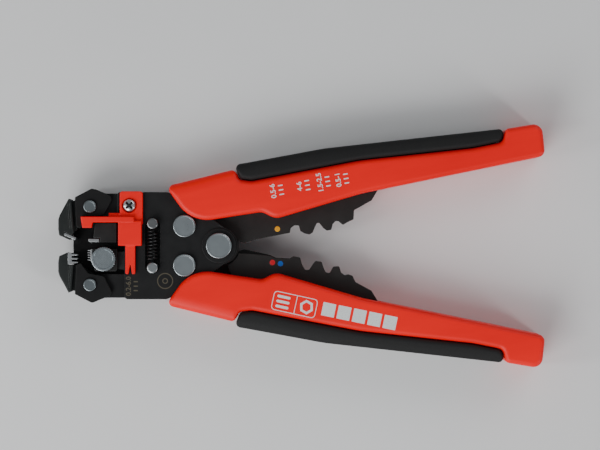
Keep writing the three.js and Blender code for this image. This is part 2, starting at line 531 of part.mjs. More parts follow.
add('jaw_spring', wire(springPath, SPRING_WIRE_R, 84, 5), 'darkSteel');

export default tool;
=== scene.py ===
import json
import math
import bpy
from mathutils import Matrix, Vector

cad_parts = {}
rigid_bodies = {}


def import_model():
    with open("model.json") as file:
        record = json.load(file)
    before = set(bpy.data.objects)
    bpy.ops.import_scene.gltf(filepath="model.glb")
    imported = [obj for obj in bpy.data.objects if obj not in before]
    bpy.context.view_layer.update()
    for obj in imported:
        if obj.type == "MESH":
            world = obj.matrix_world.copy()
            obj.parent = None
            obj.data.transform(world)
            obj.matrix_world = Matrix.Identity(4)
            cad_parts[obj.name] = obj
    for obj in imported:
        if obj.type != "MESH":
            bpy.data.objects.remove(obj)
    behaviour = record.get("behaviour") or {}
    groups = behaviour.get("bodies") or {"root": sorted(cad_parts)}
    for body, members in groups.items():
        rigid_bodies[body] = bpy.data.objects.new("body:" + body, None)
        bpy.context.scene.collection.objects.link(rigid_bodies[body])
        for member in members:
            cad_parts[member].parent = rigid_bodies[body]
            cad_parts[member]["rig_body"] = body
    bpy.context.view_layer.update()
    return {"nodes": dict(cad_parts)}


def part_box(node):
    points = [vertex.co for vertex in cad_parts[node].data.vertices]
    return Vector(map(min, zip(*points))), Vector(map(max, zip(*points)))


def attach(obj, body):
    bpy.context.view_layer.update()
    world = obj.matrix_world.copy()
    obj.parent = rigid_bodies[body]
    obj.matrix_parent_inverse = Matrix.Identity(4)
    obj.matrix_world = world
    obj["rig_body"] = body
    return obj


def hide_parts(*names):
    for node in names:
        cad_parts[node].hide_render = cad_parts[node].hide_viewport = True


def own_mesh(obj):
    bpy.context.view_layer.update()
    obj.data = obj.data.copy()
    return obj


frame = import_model()
MM = 0.001


def centre_of(node):
    low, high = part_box(node)
    return (low + high) / 2


# Every place below is in millimetres from the main pivot and from the middle of the tool's thickness.
PIVOT = centre_of("main_rivet")


def place(x, y, z):
    return PIVOT + Vector((x, y, z)) * MM


# Middles of the upper side's pins and rivets, of the knob and of the screw; heights of the main faces.
ARM_RIVET = (-14.7, 8.35)
JAW_RIVET = (-54.9, 16.65)
SPRING_POST = (-28.2, 9.4)
DRIVE_PIN = (-24, 15)
TANG_RIVETS = ((20, 21), (70, 31), (115, 39.2))
KNOB = (-49, -5.7)
STOP_SCREW = (-38, 17.1)
GRIP_FACE = 10.98
PAD_FACE = 10.68
PLATE_IN, PLATE_OUT = 5.5, 7.5
SIDES = {"upper": 1, "lower": -1}
CAD_SLOT = {
    node: obj.material_slots[0].material.name.split(".")[0] for node, obj in frame["nodes"].items()}


# ---- camera, floor and lights ----
CAMERA_CENTRE = (-0.0005, 0.0088)
CAMERA_HEIGHT = 1.15
FRONT_HEIGHT = 0.019
VIEW_WIDTH = 0.255
SENSOR_WIDTH = 36


def set_camera():
    bpy.ops.object.camera_add(location=(*CAMERA_CENTRE, FRONT_HEIGHT + CAMERA_HEIGHT), rotation=(0, 0, 0))
    camera = bpy.context.object
    camera.name = "overhead_camera"
    camera.data.sensor_width = SENSOR_WIDTH
    camera.data.lens = SENSOR_WIDTH * CAMERA_HEIGHT / VIEW_WIDTH
    camera.data.clip_start = 0.05
    bpy.context.scene.camera = camera


def add_light(name, location, size, power):
    bpy.ops.object.light_add(type="AREA", location=location)
    light = bpy.context.object
    light.name = name
    light.data.shape = "RECTANGLE"
    light.data.size, light.data.size_y = size
    light.data.energy = power
    light.rotation_euler = (Vector((0, 0, 0)) - light.location).to_track_quat("-Z", "Y").to_euler()


def set_lights():
    add_light("wide_softbox", (-0.55, -0.75, 0.75), (0.8, 0.7), 11)
    add_light("left_strip", (-0.7, -0.1, 0.35), (0.15, 0.8), 2)
    add_light("right_strip", (0.62, -0.4, 0.45), (0.12, 0.6), 1.6)
    add_light("far_fill", (0.6, 0.75, 0.7), (0.7, 0.5), 3)
    world = bpy.data.worlds.new("studio_surround")
    world.use_nodes = True
    background = world.node_tree.nodes["Background"]
    background.inputs["Color"].default_value = (0.92, 0.96, 1, 1)
    background.inputs["Strength"].default_value = 0.22
    bpy.context.scene.world = world


# ---- shader maths ----
class Term:
    """A shader value that adds and multiplies like a number."""

    def __init__(self, finish, socket):
        self.finish = finish
        self.socket = socket

    def _maths(self, operation, first, second):
        return self.finish.node("ShaderNodeMath", {"operation": operation}, {0: first, 1: second})

    def __add__(self, other):
        return self._maths("ADD", self, other)

    __radd__ = __add__

    def __sub__(self, other):
        return self._maths("SUBTRACT", self, other)

    def __rsub__(self, other):
        return self._maths("SUBTRACT", other, self)

    def __mul__(self, other):
        return self._maths("MULTIPLY", self, other)

    __rmul__ = __mul__


class Finish:
    """One material, made node by node."""

    def __init__(self, name):
        self.material = bpy.data.materials.new(name)
        self.material.use_nodes = True
        self.tree = self.material.node_tree
        self.tree.nodes.clear()

    def node(self, kind, settings, sockets, output=0):
        node = self.tree.nodes.new(kind)
        for key, value in settings.items():
            setattr(node, key, value)
        for key, value in sockets.items():
            if isinstance(value, Term):
                self.tree.links.new(value.socket, node.inputs[key])
            else:
                node.inputs[key].default_value = value
        return None if output is None else Term(self, node.outputs[output])

    def place(self):
        return self.node("ShaderNodeTexCoord", {}, {}, "Object")

    def stretched(self, scale, turn):
        return self.node("ShaderNodeMapping", {"vector_type": "TEXTURE"}, {
            "Vector": self.place(), "Rotation": (0, 0, turn), "Scale": scale})

    def noise(self, scale, detail=3, roughness=0.5, where=None):
        return self.node("ShaderNodeTexNoise", {}, {
            "Vector": where or self.place(), "Scale": scale, "Detail": detail, "Roughness": roughness})

    def ramp(self, value, low, high, eased=True):
        kind = "SMOOTHSTEP" if eased else "LINEAR"
        return self.node("ShaderNodeMapRange", {"interpolation_type": kind}, {
            "Value": value, "From Min": low, "From Max": high})

    def blend(self, share, first, second):
        return self.node("ShaderNodeMix", {"data_type": "RGBA"}, {0: share, 6: first, 7: second}, 2)

    def vector(self, operation, first, second=(0, 0, 0), output=0):
        return self.node("ShaderNodeVectorMath", {"operation": operation}, {0: first, 1: second}, output)

    def rounded_normal(self, radius):
        return self.node("ShaderNodeBevel", {"samples": 6}, {"Radius": radius})

    def edges(self, radius):
        """1 on corners that a finger would rub, 0 on flat faces."""
        flat = self.node("ShaderNodeNewGeometry", {}, {}, "Normal")
        agree = self.vector("DOT_PRODUCT", self.rounded_normal(radius), flat, "Value")
        return self.ramp(agree, 0.995, 0.9)

    def bump(self, height, strength, distance, normal=None):
        sockets = {"Height": height, "Strength": strength, "Distance": distance}
        if normal:
            sockets["Normal"] = normal
        return self.node("ShaderNodeBump", {}, sockets)

    def done(self, **sockets):
        """Joins the surface to the output and returns the material."""
        surface = self.node("ShaderNodeBsdfPrincipled", {}, {
            key.replace("_", " "): value for key, value in sockets.items()})
        self.node("ShaderNodeOutputMaterial", {"is_active_output": True}, {"Surface": surface}, None)
        return self.material


# ---- finishes ----
def blackened_steel(name, colour, sheen=0.4):
    """Oxide-blacked plate: nearly even, with a faint mottle and corners rubbed a little lighter."""
    finish = Finish(name)
    mottle = finish.noise(220, 5, 0.6)
    fine = finish.noise(6500, 2)
    tone = finish.ramp(mottle, 0.25, 0.75, False)
    lighter = tuple(c * 1.3 + 0.001 for c in colour)
    base = finish.blend(tone, (*colour, 1), (*lighter, 1))
    rubbed = finish.edges(0.00035) * finish.ramp(finish.noise(900, 4), 0.3, 0.62)
    painted = finish.blend(rubbed * 0.55, base, (0.07, 0.07, 0.072, 1))
    return finish.done(
        Base_Color=painted, Metallic=0.1, Specular_IOR_Level=0.3,
        Roughness=tone * 0.1 + fine * 0.08 + (sheen - rubbed * 0.1),
        Normal=finish.bump(fine, 0.18, 0.00006, finish.rounded_normal(0.00025)))


def blasted_steel(name, colour):
    """Matt grey steel of the jaws, blasted before it was blacked."""
    finish = Finish(name)
    grit = finish.noise(9000, 3, 0.7)
    cloud = finish.ramp(finish.noise(300, 4), 0.3, 0.7, False)
    base = finish.blend(cloud, (*colour, 1), (*(c * 1.25 for c in colour), 1))
    rubbed = finish.edges(0.00045)
    painted = finish.blend(rubbed * 0.5, base, (0.1, 0.11, 0.107, 1))
    return finish.done(
        Base_Color=painted, Metallic=0.15, Specular_IOR_Level=0.35,
        Roughness=grit * 0.12 + cloud * 0.06 + 0.4,
        Normal=finish.bump(grit, 0.3, 0.00006, finish.rounded_normal(0.0003)))


def ground_steel(name, colour, turn):
    """Bright steel with straight grinding lines."""
    finish = Finish(name)
    lines = finish.noise(1, 3, 0.6, finish.stretched((0.004, 0.00009, 0.004), turn))
    cloud = finish.noise(500, 3)
    tone = finish.ramp(lines, 0.3, 0.7, False)
    base = finish.blend(tone, (*(c * 0.78 for c in colour), 1), (*colour, 1))
    return finish.done(
        Base_Color=base, Metallic=0.95, Roughness=lines * 0.14 + cloud * 0.08 + 0.22,
        Normal=finish.bump(lines, 0.12, 0.00003, finish.rounded_normal(0.0002)))


def turned_steel(name, colour, centre, radius, roughness, shade_below):
    """A turned head: fine rings about its own middle, soiled towards the rim, with painted shade below a
    height.
    """
    finish = Finish(name)
    about = finish.vector("SUBTRACT", finish.place(), centre)
    flat = finish.vector("MULTIPLY", about, (1, 1, 0))
    out = finish.vector("LENGTH", flat, output="Value")
    rings = finish.node("ShaderNodeMath", {"operation": "SINE"}, {0: out * (2 * math.pi / 0.00022)})
    cloud = finish.noise(420, 4, 0.6)
    scratches = finish.noise(1, 2, 0.5, finish.stretched((0.0025, 0.00018, 0.003), 0.6))
    scuffs = finish.ramp(scratches, 0.62, 0.72)
    soiled = finish.ramp(out, radius * 0.75, radius * 0.98) * finish.ramp(cloud, 0.35, 0.65)
    worn = finish.blend(soiled * 0.4 + scuffs * 0.12, (*colour, 1), (*(c * 0.45 for c in colour), 1))
    # Painted shade: below the given height, the floor of the screw's cross, the head is coloured near
    # black and made less metallic.
    height = finish.node("ShaderNodeSeparateXYZ", {}, {0: finish.place()}, "Z")
    painted_recess_shade = finish.ramp(height, shade_below + 0.0003, shade_below)
    base = finish.blend(painted_recess_shade * 0.93, worn, (0.01, 0.01, 0.01, 1))
    return finish.done(
        Base_Color=base, Metallic=0.9 - painted_recess_shade * 0.6,
        Roughness=cloud * 0.14 + rings * 0.02 + (roughness - 0.05),
        Normal=finish.bump(rings * 0.5 + cloud, 0.1, 0.00003))


def oiled_steel(name, colour, roughness=0.34):
    finish = Finish(name)
    cloud = finish.noise(700, 4, 0.6)
    tone = finish.ramp(cloud, 0.3, 0.7, False)
    base = finish.blend(tone, (*(c * 0.7 for c in colour), 1), (*colour, 1))
    return finish.done(
        Base_Color=base, Metallic=0.85, Roughness=tone * 0.15 + roughness,
        Normal=finish.bump(cloud, 0.15, 0.00005))


def moulded_plastic(name, colour, roughness, softness, speckle=2600):
    """Satin moulded plastic: faint flow marks, spark-eroded texture and soft corners."""
    finish = Finish(name)
    flow = finish.noise(1, 4, 0.5, finish.stretched((0.05, 0.012, 0.02), 0.2))
    pebbles = finish.noise(speckle, 2, 0.4)
    tone = finish.ramp(flow, 0.25, 0.75, False)
    base = finish.blend(tone, (*(c * 0.86 for c in colour), 1), (*colour, 1))
    rubbed = finish.edges(softness * 0.5)
    worn = finish.blend(rubbed * 0.18, base, (*(min(1, c * 1.2 + 0.02) for c in colour), 1))
    return finish.done(
        Base_Color=worn, Roughness=pebbles * 0.12 + tone * 0.05 + (roughness - rubbed * 0.08),
        Specular_IOR_Level=0.32,
        Normal=finish.bump(pebbles, 0.12, 0.00008, finish.rounded_normal(softness)))


def soft_rubber(name, colour):
    """Matt black overmould with a fine grain."""
    finish = Finish(name)
    grain = finish.node("ShaderNodeTexVoronoi", {"feature": "SMOOTH_F1"}, {
        "Vector": finish.place(), "Scale": 1900, "Smoothness": 0.6})
    cloud = finish.ramp(finish.noise(120, 4), 0.3, 0.7, False)
    base = finish.blend(cloud, (*colour, 1), (*(c * 1.5 for c in colour), 1))
    return finish.done(
        Base_Color=base, Roughness=grain * 0.16 + cloud * 0.08 + 0.56, Specular_IOR_Level=0.35,
        Normal=finish.bump(grain, 0.35, 0.0001, finish.rounded_normal(0.0008)))


def printed_ink(name, colour, roughness=0.5):
    """Pad-printed ink, a little thin in places."""
    finish = Finish(name)
    thin = finish.ramp(finish.noise(2600, 4, 0.6), 0.3, 0.55)
    base = finish.blend(thin, (*(c * 0.8 for c in colour), 1), (*colour, 1))
    return finish.done(
        Base_Color=base, Roughness=thin * 0.1 + roughness, Normal=finish.bump(thin, 0.1, 0.00002))


FINISH = {
    "black_steel": blackened_steel("blacked_plate", (0.0075, 0.0077, 0.0082)),
    "handle_steel": blackened_steel("blacked_handle", (0.0165, 0.0155, 0.015), 0.42),
    "cheek_steel": blackened_steel("blacked_cheek", (0.0035, 0.0036, 0.0038), 0.46),
    "ash_steel": blasted_steel("blasted_jaw", (0.0115, 0.014, 0.0135)),
    "holder_steel": blasted_steel("blasted_holder", (0.0115, 0.0115, 0.0115)),
    "bright_steel": ground_steel("ground_blade", (0.6, 0.62, 0.63), 0.4),
    "dark_steel": oiled_steel("oiled_pin", (0.09, 0.09, 0.092)),
    "red_grip": moulded_plastic("red_grip_shell", (0.98, 0.001, 0.001), 0.36, 0.0009),
    "red_stop": moulded_plastic("red_stop_nylon", (0.95, 0.001, 0.002), 0.36, 0.0004, 5200),
    "soft_black": soft_rubber("black_overmould", (0.006, 0.006, 0.0062)),
}
PLATED = (0.4, 0.445, 0.465)
# Heights below which a head is painted dark as shade: none, and just above the floor of the screw's
# cross.
NO_PAINTED_SHADE = -1
RECESS = place(0, 0, 9.7).z


def finish_cad_nodes():
    for node, obj in frame["nodes"].items():
        obj.data.materials.clear()
        obj.data.materials.append(FINISH[CAD_SLOT[node]])


def head_finish(name, node, colour, roughness=0.3, shade_below=NO_PAINTED_SHADE):
    low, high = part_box(node)
    radius = (high.x - low.x) / 2
    FINISH[name] = turned_steel(f"turned_{name}", colour, (low + high) / 2, radius, roughness, shade_below)


head_finish("main_head", "main_rivet", PLATED)
for side in SIDES:
    head_finish(f"{side}_arm_head", f"{side}_arm_rivet", PLATED)
    head_finish(f"{side}_jaw_head", f"{side}_jaw_rivet", (0.24, 0.275, 0.29))
head_finish("upper_post_head", "upper_spring_post", (0.24, 0.25, 0.255))
head_finish("lower_post_head", "lower_spring_post", (0.4, 0.43, 0.44))
head_finish("knob_steel", "adjusting_knob", (0.41, 0.46, 0.485), 0.26)
head_finish("screw_steel", "stop_screw", (0.62, 0.64, 0.65), 0.22, RECESS)
FINISH["white_ink"] = printed_ink("white_ink", (0.72, 0.76, 0.75))
FINISH["etched"] = printed_ink("etched_mark", (0.075, 0.064, 0.04), 0.6)
for dot, colour in (("yellow_dot", (0.8, 0.38, 0)), ("red_dot", (0.62, 0.005, 0.015)),
                    ("blue_dot", (0, 0.11, 0.5))):
    FINISH[dot] = printed_ink(f"{dot}_paint", colour, 0.35)
FINISH["spring_wire"] = oiled_steel("spring_wire_steel", (0.03, 0.03, 0.031), 0.3)


# ---- ways of making pieces ----
def clear_selection():
    if bpy.context.mode != "OBJECT":
        bpy.ops.object.mode_set(mode="OBJECT")
    bpy.ops.object.select_all(action="DESELECT")


def hold(piece):
    clear_selection()
    piece.select_set(True)
    bpy.context.view_layer.objects.active = piece


def face_outwards(piece):
    hold(piece)
    bpy.ops.object.mode_set(mode="EDIT")
    bpy.ops.mesh.select_all(action="SELECT")
    bpy.ops.mesh.remove_doubles(threshold=0.000001)
    bpy.ops.mesh.normals_make_consistent(inside=False)
    bpy.ops.object.mode_set(mode="OBJECT")


def rounded(corners, fineness=9):
    """Points of a closed outline from corners (x, y, fillet radius)."""
    points = []
    for i, (x, y, *fillet) in enumerate(corners):
        corner = Vector((x, y))
        if not fillet:
            points.append(corner)
            continue
        before = Vector(corners[i - 1][:2]) - corner
        after = Vector(corners[(i + 1) % len(corners)][:2]) - corner
        reach = min(before.length, after.length) * 0.49
        u, v = before.normalized(), after.normalized()
        half = u.angle(v) / 2
        radius = min(fillet[0], reach * math.tan(half))
        middle = corner + (u + v).normalized() * radius / math.sin(half)
        first = corner + u * radius / math.tan(half) - middle
        last = corner + v * radius / math.tan(half) - middle
        sweep = first.angle_signed(last)
        steps = max(2, math.ceil(abs(sweep) * (fineness if radius < 12 else 3 * fineness) / 2))
        start = math.atan2(first.y, first.x)
        for k in range(steps + 1):
            a = start - sweep * k / steps
            points.append(middle + Vector((math.cos(a), math.sin(a))) * radius)
    return points


def on_side(side, corners, fineness):
    """The outline of a piece of the upper side, or of its twin on the lower side."""
    if side == "lower":
        corners = [(x, -y, *fillet) for x, y, *fillet in reversed(corners)]
    return rounded(corners, fineness)


def flat_piece(name, points, low, high):
    """A blank laid down to an outline and drawn up to its thickness."""
    clear_selection()
    bpy.ops.mesh.primitive_circle_add(
        vertices=len(points), radius=0.01, fill_type="NGON", location=(0, 0, 0))
    piece = bpy.context.object
    piece.name = name
    for vertex, (x, y) in zip(piece.data.vertices, points):
        vertex.co = place(x, y, low)
    bpy.ops.object.mode_set(mode="EDIT")
    bpy.ops.mesh.select_all(action="SELECT")
    bpy.ops.mesh.extrude_region_move(TRANSFORM_OT_translate={"value": (0, 0, (high - low) * MM)})
    face_outwards(piece)
    return piece


def pick_nothing(piece, kind):
    """Leaves the mesh with nothing selected, ready for a choice of vertices or edges."""
    hold(piece)
    bpy.ops.object.mode_set(mode="EDIT")
    bpy.ops.mesh.select_mode(type=kind)
    bpy.ops.mesh.select_all(action="DESELECT")
    bpy.ops.object.mode_set(mode="OBJECT")


def round_rim(piece, height, width, steps=3):
    """Rounds the rim of a flat piece at one height."""
    pick_nothing(piece, "EDGE")
    level = [abs((vertex.co.z - PIVOT.z) / MM - height) < 0.001 for vertex in piece.data.vertices]
    for edge in piece.data.edges:
        edge.select = all(level[end] for end in edge.vertices)
    bpy.ops.object.mode_set(mode="EDIT")
    bpy.ops.mesh.bevel(offset=width * MM, segments=steps, affect="EDGES", clamp_overlap=False)
    bpy.ops.object.mode_set(mode="OBJECT")


def work(piece, operation, *tools):
    """Cuts pieces away from a piece, or welds them to it."""
    for tool in tools:
        hold(piece)
        modifier = piece.modifiers.new("shape", "BOOLEAN")
        modifier.operation = operation
        modifier.object = tool
        bpy.ops.object.modifier_apply(modifier=modifier.name)
        bpy.data.objects.remove(tool)
    return piece


def turned(name, x, y, profile, sides=72):
    """A turned piece, drawn up ring by ring from (radius, height) pairs."""
    clear_selection()
    radius, height = profile[0]
    bpy.ops.mesh.primitive_circle_add(
        vertices=sides, radius=radius * MM, fill_type="NGON", location=place(x, y, height))
    piece = bpy.context.object
    piece.name = name
    bpy.ops.object.transform_apply(location=True, rotation=True, scale=True)
    bpy.ops.object.mode_set(mode="EDIT")
    bpy.ops.mesh.select_all(action="SELECT")
    for next_radius, next_height in profile[1:]:
        rise = (next_height - height) * MM
        bpy.ops.mesh.extrude_region_move(TRANSFORM_OT_translate={"value": (0, 0, rise)})
        share = next_radius / radius
        if share != 1:
            bpy.ops.transform.resize(value=(share, share, 1), center_override=place(x, y, next_height))
        radius, height = next_radius, next_height
    face_outwards(piece)
    return piece


def bore(x, y, radius, low=-12, high=12, sides=48):
    return turned("bore", x, y, [(radius, low), (radius, high)], sides)


def wire(name, path, thickness):
    """Round wire along a path."""
    clear_selection()
    bpy.ops.curve.primitive_nurbs_path_add(location=(0, 0, 0))
    piece = bpy.context.object
    piece.name = name
    curve = piece.data
    curve.splines.clear()
    spline = curve.splines.new("NURBS")
    spline.points.add(len(path) - 1)
    for point, where in zip(spline.points, path):
        point.co = (*place(*where), 1)
    spline.order_u = 4
    spline.use_endpoint_u = True
    spline.resolution_u = 2
    curve.bevel_depth = thickness * MM
    curve.bevel_resolution = 3
    curve.use_fill_caps = True
    bpy.ops.object.convert(target="MESH")
    face_outwards(piece)
    return piece


def copied(piece, name, across):
    """A copy with its own mesh, turned over across the tool (y) or through its thickness (z)."""
    hold(piece)
    bpy.ops.object.duplicate()
    copy = bpy.context.object
    copy.name = name
    copy.scale = (1, -1 if "y" in across else 1, -1 if "z" in across else 1)
    copy.location.z = 2 * PIVOT.z if "z" in across else 0
    bpy.ops.object.transform_apply(location=True, rotation=True, scale=True)
    face_outwards(copy)
    return copy


def fit(piece, finish, node):
    """Finishes a piece and hangs it on the body of the CAD node it stands for."""
    hold(piece)
    bpy.ops.object.shade_smooth_by_angle(angle=math.radians(32))
    modifier = piece.modifiers.new("even_faces", "WEIGHTED_NORMAL")
    modifier.keep_sharp = True
    bpy.ops.object.modifier_apply(modifier=modifier.name)
    piece.data.materials.clear()
    piece.data.materials.append(FINISH[finish])
    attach(piece, frame["nodes"][node]["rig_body"])
    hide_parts(node)


def strip(x, y, length, width, turn, low, high, corner=0.12):
    """A plain bar centred on a place, turned by an angle."""
    a = math.radians(turn)
    right, top = length / 2, width / 2
    return flat_piece("bar", rounded([
        (x + u * math.cos(a) - v * math.sin(a), y + u * math.sin(a) + v * math.cos(a), corner)
        for u, v in ((-right, -top), (right, -top), (right, top), (-right, top))]), low, high)


def block(name, x, y, corner, low, high, fineness=9):
    """A block between a pair of x and a pair of y, with the same fillet at its four corners."""
    (left, right), (near, far) = x, y
    corners = [(left, near, corner), (right, near, corner), (right, far, corner), (left, far, corner)]
    return flat_piece(name, rounded(corners, fineness), low, high)


def ring(x, y, outer, inner, low, high, sides):
    loop = turned("ring", x, y, [(outer, low), (outer, high)], sides)
    return work(loop, "DIFFERENCE", bore(x, y, inner, low - 1, high + 1, sides))


# ---- grips ----
SEAM = [(8.7, 28, 2.5), (14, 27.4, 6), (60, 36.2, 60), (108, 41.4, 30), (120.4, 43.9, 3)]
SHELL = [
    (-22.6, 25.2, 2.2), (-11.7, 9.7, 17), (18.4, 14.4, 5), (24, 11.4, 6), (61, 22.3, 40),
    (138.6, 38.2, 3), (137.1, 52.2, 4), (121.8, 49.6, 2.2), *reversed(SEAM), (6.5, 32.4, 2.2),
]
PAD = [
    (6.4, 34.4, 2.3), (9, 28.35, 2.5), (14, 27.75, 6), (60, 36.55, 60), (108, 41.75, 30),
    (120.1, 44.25, 3), (121.3, 49.8, 2.3), (45, 41.4, 80), (12, 35.3, 5),
]
TANG_ROOM = [
    (10, -2), (66, 12), (69.6, 25.5), (128.6, 38.2, 3), (127.6, 46.2, 3), (112, 40.3, 8), (60, 33.8, 20),
    (14, 25.1, 8), (0, 25.3),
]
HEAD_ROOM = [(-40, -60), (11.5, -60), (11.5, 60), (-40, 60)]


def fall_away(piece, face, width, drop, *edges):
    """Rounds a face away towards straight outer edges, given as pairs of points, over a width."""
    lines = []
    for start, end in edges:
        along = (Vector(end) - Vector(start)).normalized()
        lines.append((Vector(start), Vector((along.y, -along.x))))
    hold(piece)
    bpy.ops.object.mode_set(mode="EDIT")
    for start, inward in lines:
        for share in (0.06, 0.16, 0.28, 0.42, 0.58, 0.78, 1):
            x, y = start + inward * width * share
            bpy.ops.mesh.select_all(action="SELECT")
            bpy.ops.mesh.bisect(plane_co=place(x, y, 0), plane_no=(*inward, 0))
    bpy.ops.object.mode_set(mode="OBJECT")
    for vertex in piece.data.vertices:
        where = (vertex.co - PIVOT) / MM
        depth = max(0, min((where.xy - start).dot(inward) for start, inward in lines))
        lean = 1 - min(depth / width, 1)
        limit = face - drop * (1 - math.sqrt(1 - lean * lean))
        if abs(where.z) > limit and abs(where.z) > face - drop - 0.01:
            vertex.co.z = PIVOT.z + math.copysign(limit, where.z) * MM


def make_grips():
    shell = flat_piece("upper_grip_shell_front", rounded(SHELL), 0.15, GRIP_FACE)
    round_rim(shell, GRIP_FACE, 2.1, 7)
    fall_away(shell, GRIP_FACE, 5.5, 2.8, ((-22.6, 25.2), (6.5, 32.4)))
    work(shell, "DIFFERENCE",
         *[bore(px, py, 3.3, -1, 4.9) for px, py in TANG_RIVETS],
         flat_piece("tang_room", rounded(TANG_ROOM), -1, 3.3),
         flat_piece("head_room", rounded(HEAD_ROOM), -1, 7.9))
    round_rim(shell, 0.15, 0.12, 1)
    pad = flat_piece("upper_grip_overmould", rounded(PAD), -PAD_FACE, PAD_FACE)
    round_rim(pad, PAD_FACE, 1.9, 6)
    round_rim(pad, -PAD_FACE, 1.9, 6)
    fall_away(pad, PAD_FACE, 5.5, 2.7, ((12, 35.3), (45, 41.4)), ((45, 41.4), (121.3, 49.8)))
    work(pad, "DIFFERENCE",
         flat_piece("tang_room", rounded(TANG_ROOM), -3.3, 3.3),
         flat_piece("head_room", rounded(HEAD_ROOM), -7.9, 7.9))
    shells = {
        "upper_grip_front": shell,
        "upper_grip_back": copied(shell, "upper_grip_shell_back", "z"),
        "lower_grip_front": copied(shell, "lower_grip_shell_front", "y"),
        "lower_grip_back": copied(shell, "lower_grip_shell_back", "yz"),
    }
    for node, piece in shells.items():
        fit(piece, "red_grip", node)
    lower_pad = copied(pad, "lower_grip_overmould", "y")
    fit(pad, "soft_black", "upper_grip_pad")
    fit(lower_pad, "soft_black", "lower_grip_pad")


# ---- rivets, posts and washers ----
def rivet(name, x, y, shank, radius, under, top):
    """A rivet with the same head in front and behind, rounded at the rim and slightly dished."""
    front = [
        (shank, under), (radius, under), (radius, top - 0.35), (radius - 0.05, top - 0.2),
        (radius - 0.17, top - 0.07), (radius - 0.36, top), (radius - 0.62, top - 0.02),
        (radius - 0.78, top - 0.08), (radius - 0.95, top - 0.08),
    ]
    back = [(r, -z) for r, z in reversed(front)]
    return turned(name, x, y, [*back, *front])


def make_rivets():
    fit(rivet("main_rivet_turned", 0, 0, 3, 5.44, 8.4, 9.9), "main_head", "main_rivet")
    for side, y in SIDES.items():
        fit(rivet(f"{side}_arm_rivet_turned", ARM_RIVET[0], ARM_RIVET[1] * y, 2.5, 4.76, 7.7, 9.2),
            f"{side}_arm_head", f"{side}_arm_rivet")
        fit(rivet(f"{side}_jaw_rivet_turned", JAW_RIVET[0], JAW_RIVET[1] * y, 2, 2.7, 7.65, 8.6),
            f"{side}_jaw_head", f"{side}_jaw_rivet")
        foot = -3 if side == "upper" else 0.15
        post = turned(f"{side}_spring_post_turned", SPRING_POST[0], SPRING_POST[1] * y, [
            (1.2, foot), (1.2, 9.3), (2.3, 9.3), (2.3, 10.15), (2.24, 10.35), (2.1, 10.5),
            (1.85, 10.58), (1.4, 10.6)])
        fit(post, f"{side}_post_head", f"{side}_spring_post")
    front = turned("pivot_washer_turned", 0, 0, [(7.1, 7.7), (7.3, 7.8), (7.3, 8.1), (7.1, 8.2)], 96)
    work(front, "DIFFERENCE", bore(0, 0, 3.35))
    back = copied(front, "pivot_washer_turned_back", "z")
    fit(front, "black_steel", "pivot_washer_front")
    fit(back, "black_steel", "pivot_washer_back")


def make_springs():
    post_x, post_y = SPRING_POST
    radius, height, turns, steps = 2.15, 7.95, 9, 9 * 20
    coil = []
    for i in range(steps + 1):
        share = i / steps
        a = share * turns * 2 * math.pi
        coil.append((post_x + radius * math.cos(a), 13.05 * (0.5 - share), height + radius * math.sin(a)))

    def hook(side, x):
        angles = [math.radians(-60 + 25 * k) for k in range(13)]
        return [
            (x + radius * math.cos(a), side * (post_y + radius * math.sin(a)), height) for a in angles]

    path = [*reversed(hook(1, post_x)), *coil[4:-4], *hook(-1, post_x - 0.25)]
    spring = wire("jaw_spring_wound", path, 0.4)
    fit(spring, "spring_wire", "jaw_spring")
    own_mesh(spring)
    turns = 1.25
    loop = [(4.9 * math.cos(a), 4.9 * math.sin(a), -4.95 + 1.35 * a / (turns * 2 * math.pi))
            for a in (k * math.pi / 12 for k in range(31))]
    fit(wire("return_spring_wound", loop, 0.38), "dark_steel", "return_spring")


def make_knob():
    sides = 132
    knob = turned("adjusting_knob_knurled", *KNOB, [
        (1.8, -2.5), (1.8, 8), (4.85, 8), (5.2, 8.25), (5.2, 9.92), (5, 10.15), (4.85, 10.2),
        (4.2, 10.2), (4.08, 10.1), (4, 9.92), (3.8, 9.9)], sides)
    pick_nothing(knob, "VERT")
    for vertex in knob.data.vertices:
        where = (vertex.co - place(*KNOB, 0)) / MM
        step = round(math.atan2(where.y, where.x) / (2 * math.pi / sides))
        vertex.select = where.xy.length > 5.1 and 8.2 < where.z < 10 and step % 4 in (0, 1)
    bpy.ops.object.mode_set(mode="EDIT")
    bpy.ops.transform.resize(value=(0.945, 0.945, 1), center_override=place(*KNOB, 9))
    bpy.ops.object.mode_set(mode="OBJECT")
    fit(knob, "knob_steel", "adjusting_knob")


def make_stop_screw():
    screw = turned("stop_screw_turned", *STOP_SCREW, [
        (1.4, 6.5), (1.4, 9.3), (2.6, 9.3), (2.6, 9.9), (2.5, 10.15), (2.3, 10.4), (2, 10.6),
        (1.5, 10.78), (0.9, 10.88)], 64)
    for turn in (45, 135):
        work(screw, "DIFFERENCE", strip(*STOP_SCREW, 3.8, 0.95, turn, 9.3, 11.2))
    fit(screw, "screw_steel", "stop_screw")


# ---- plates ----
HUB = 8.4


def arc(radius, start, end, steps):
    angles = [math.radians(start + (end - start) * i / steps) for i in range(steps + 1)]
    return [(radius * math.cos(a), radius * math.sin(a)) for a in angles]


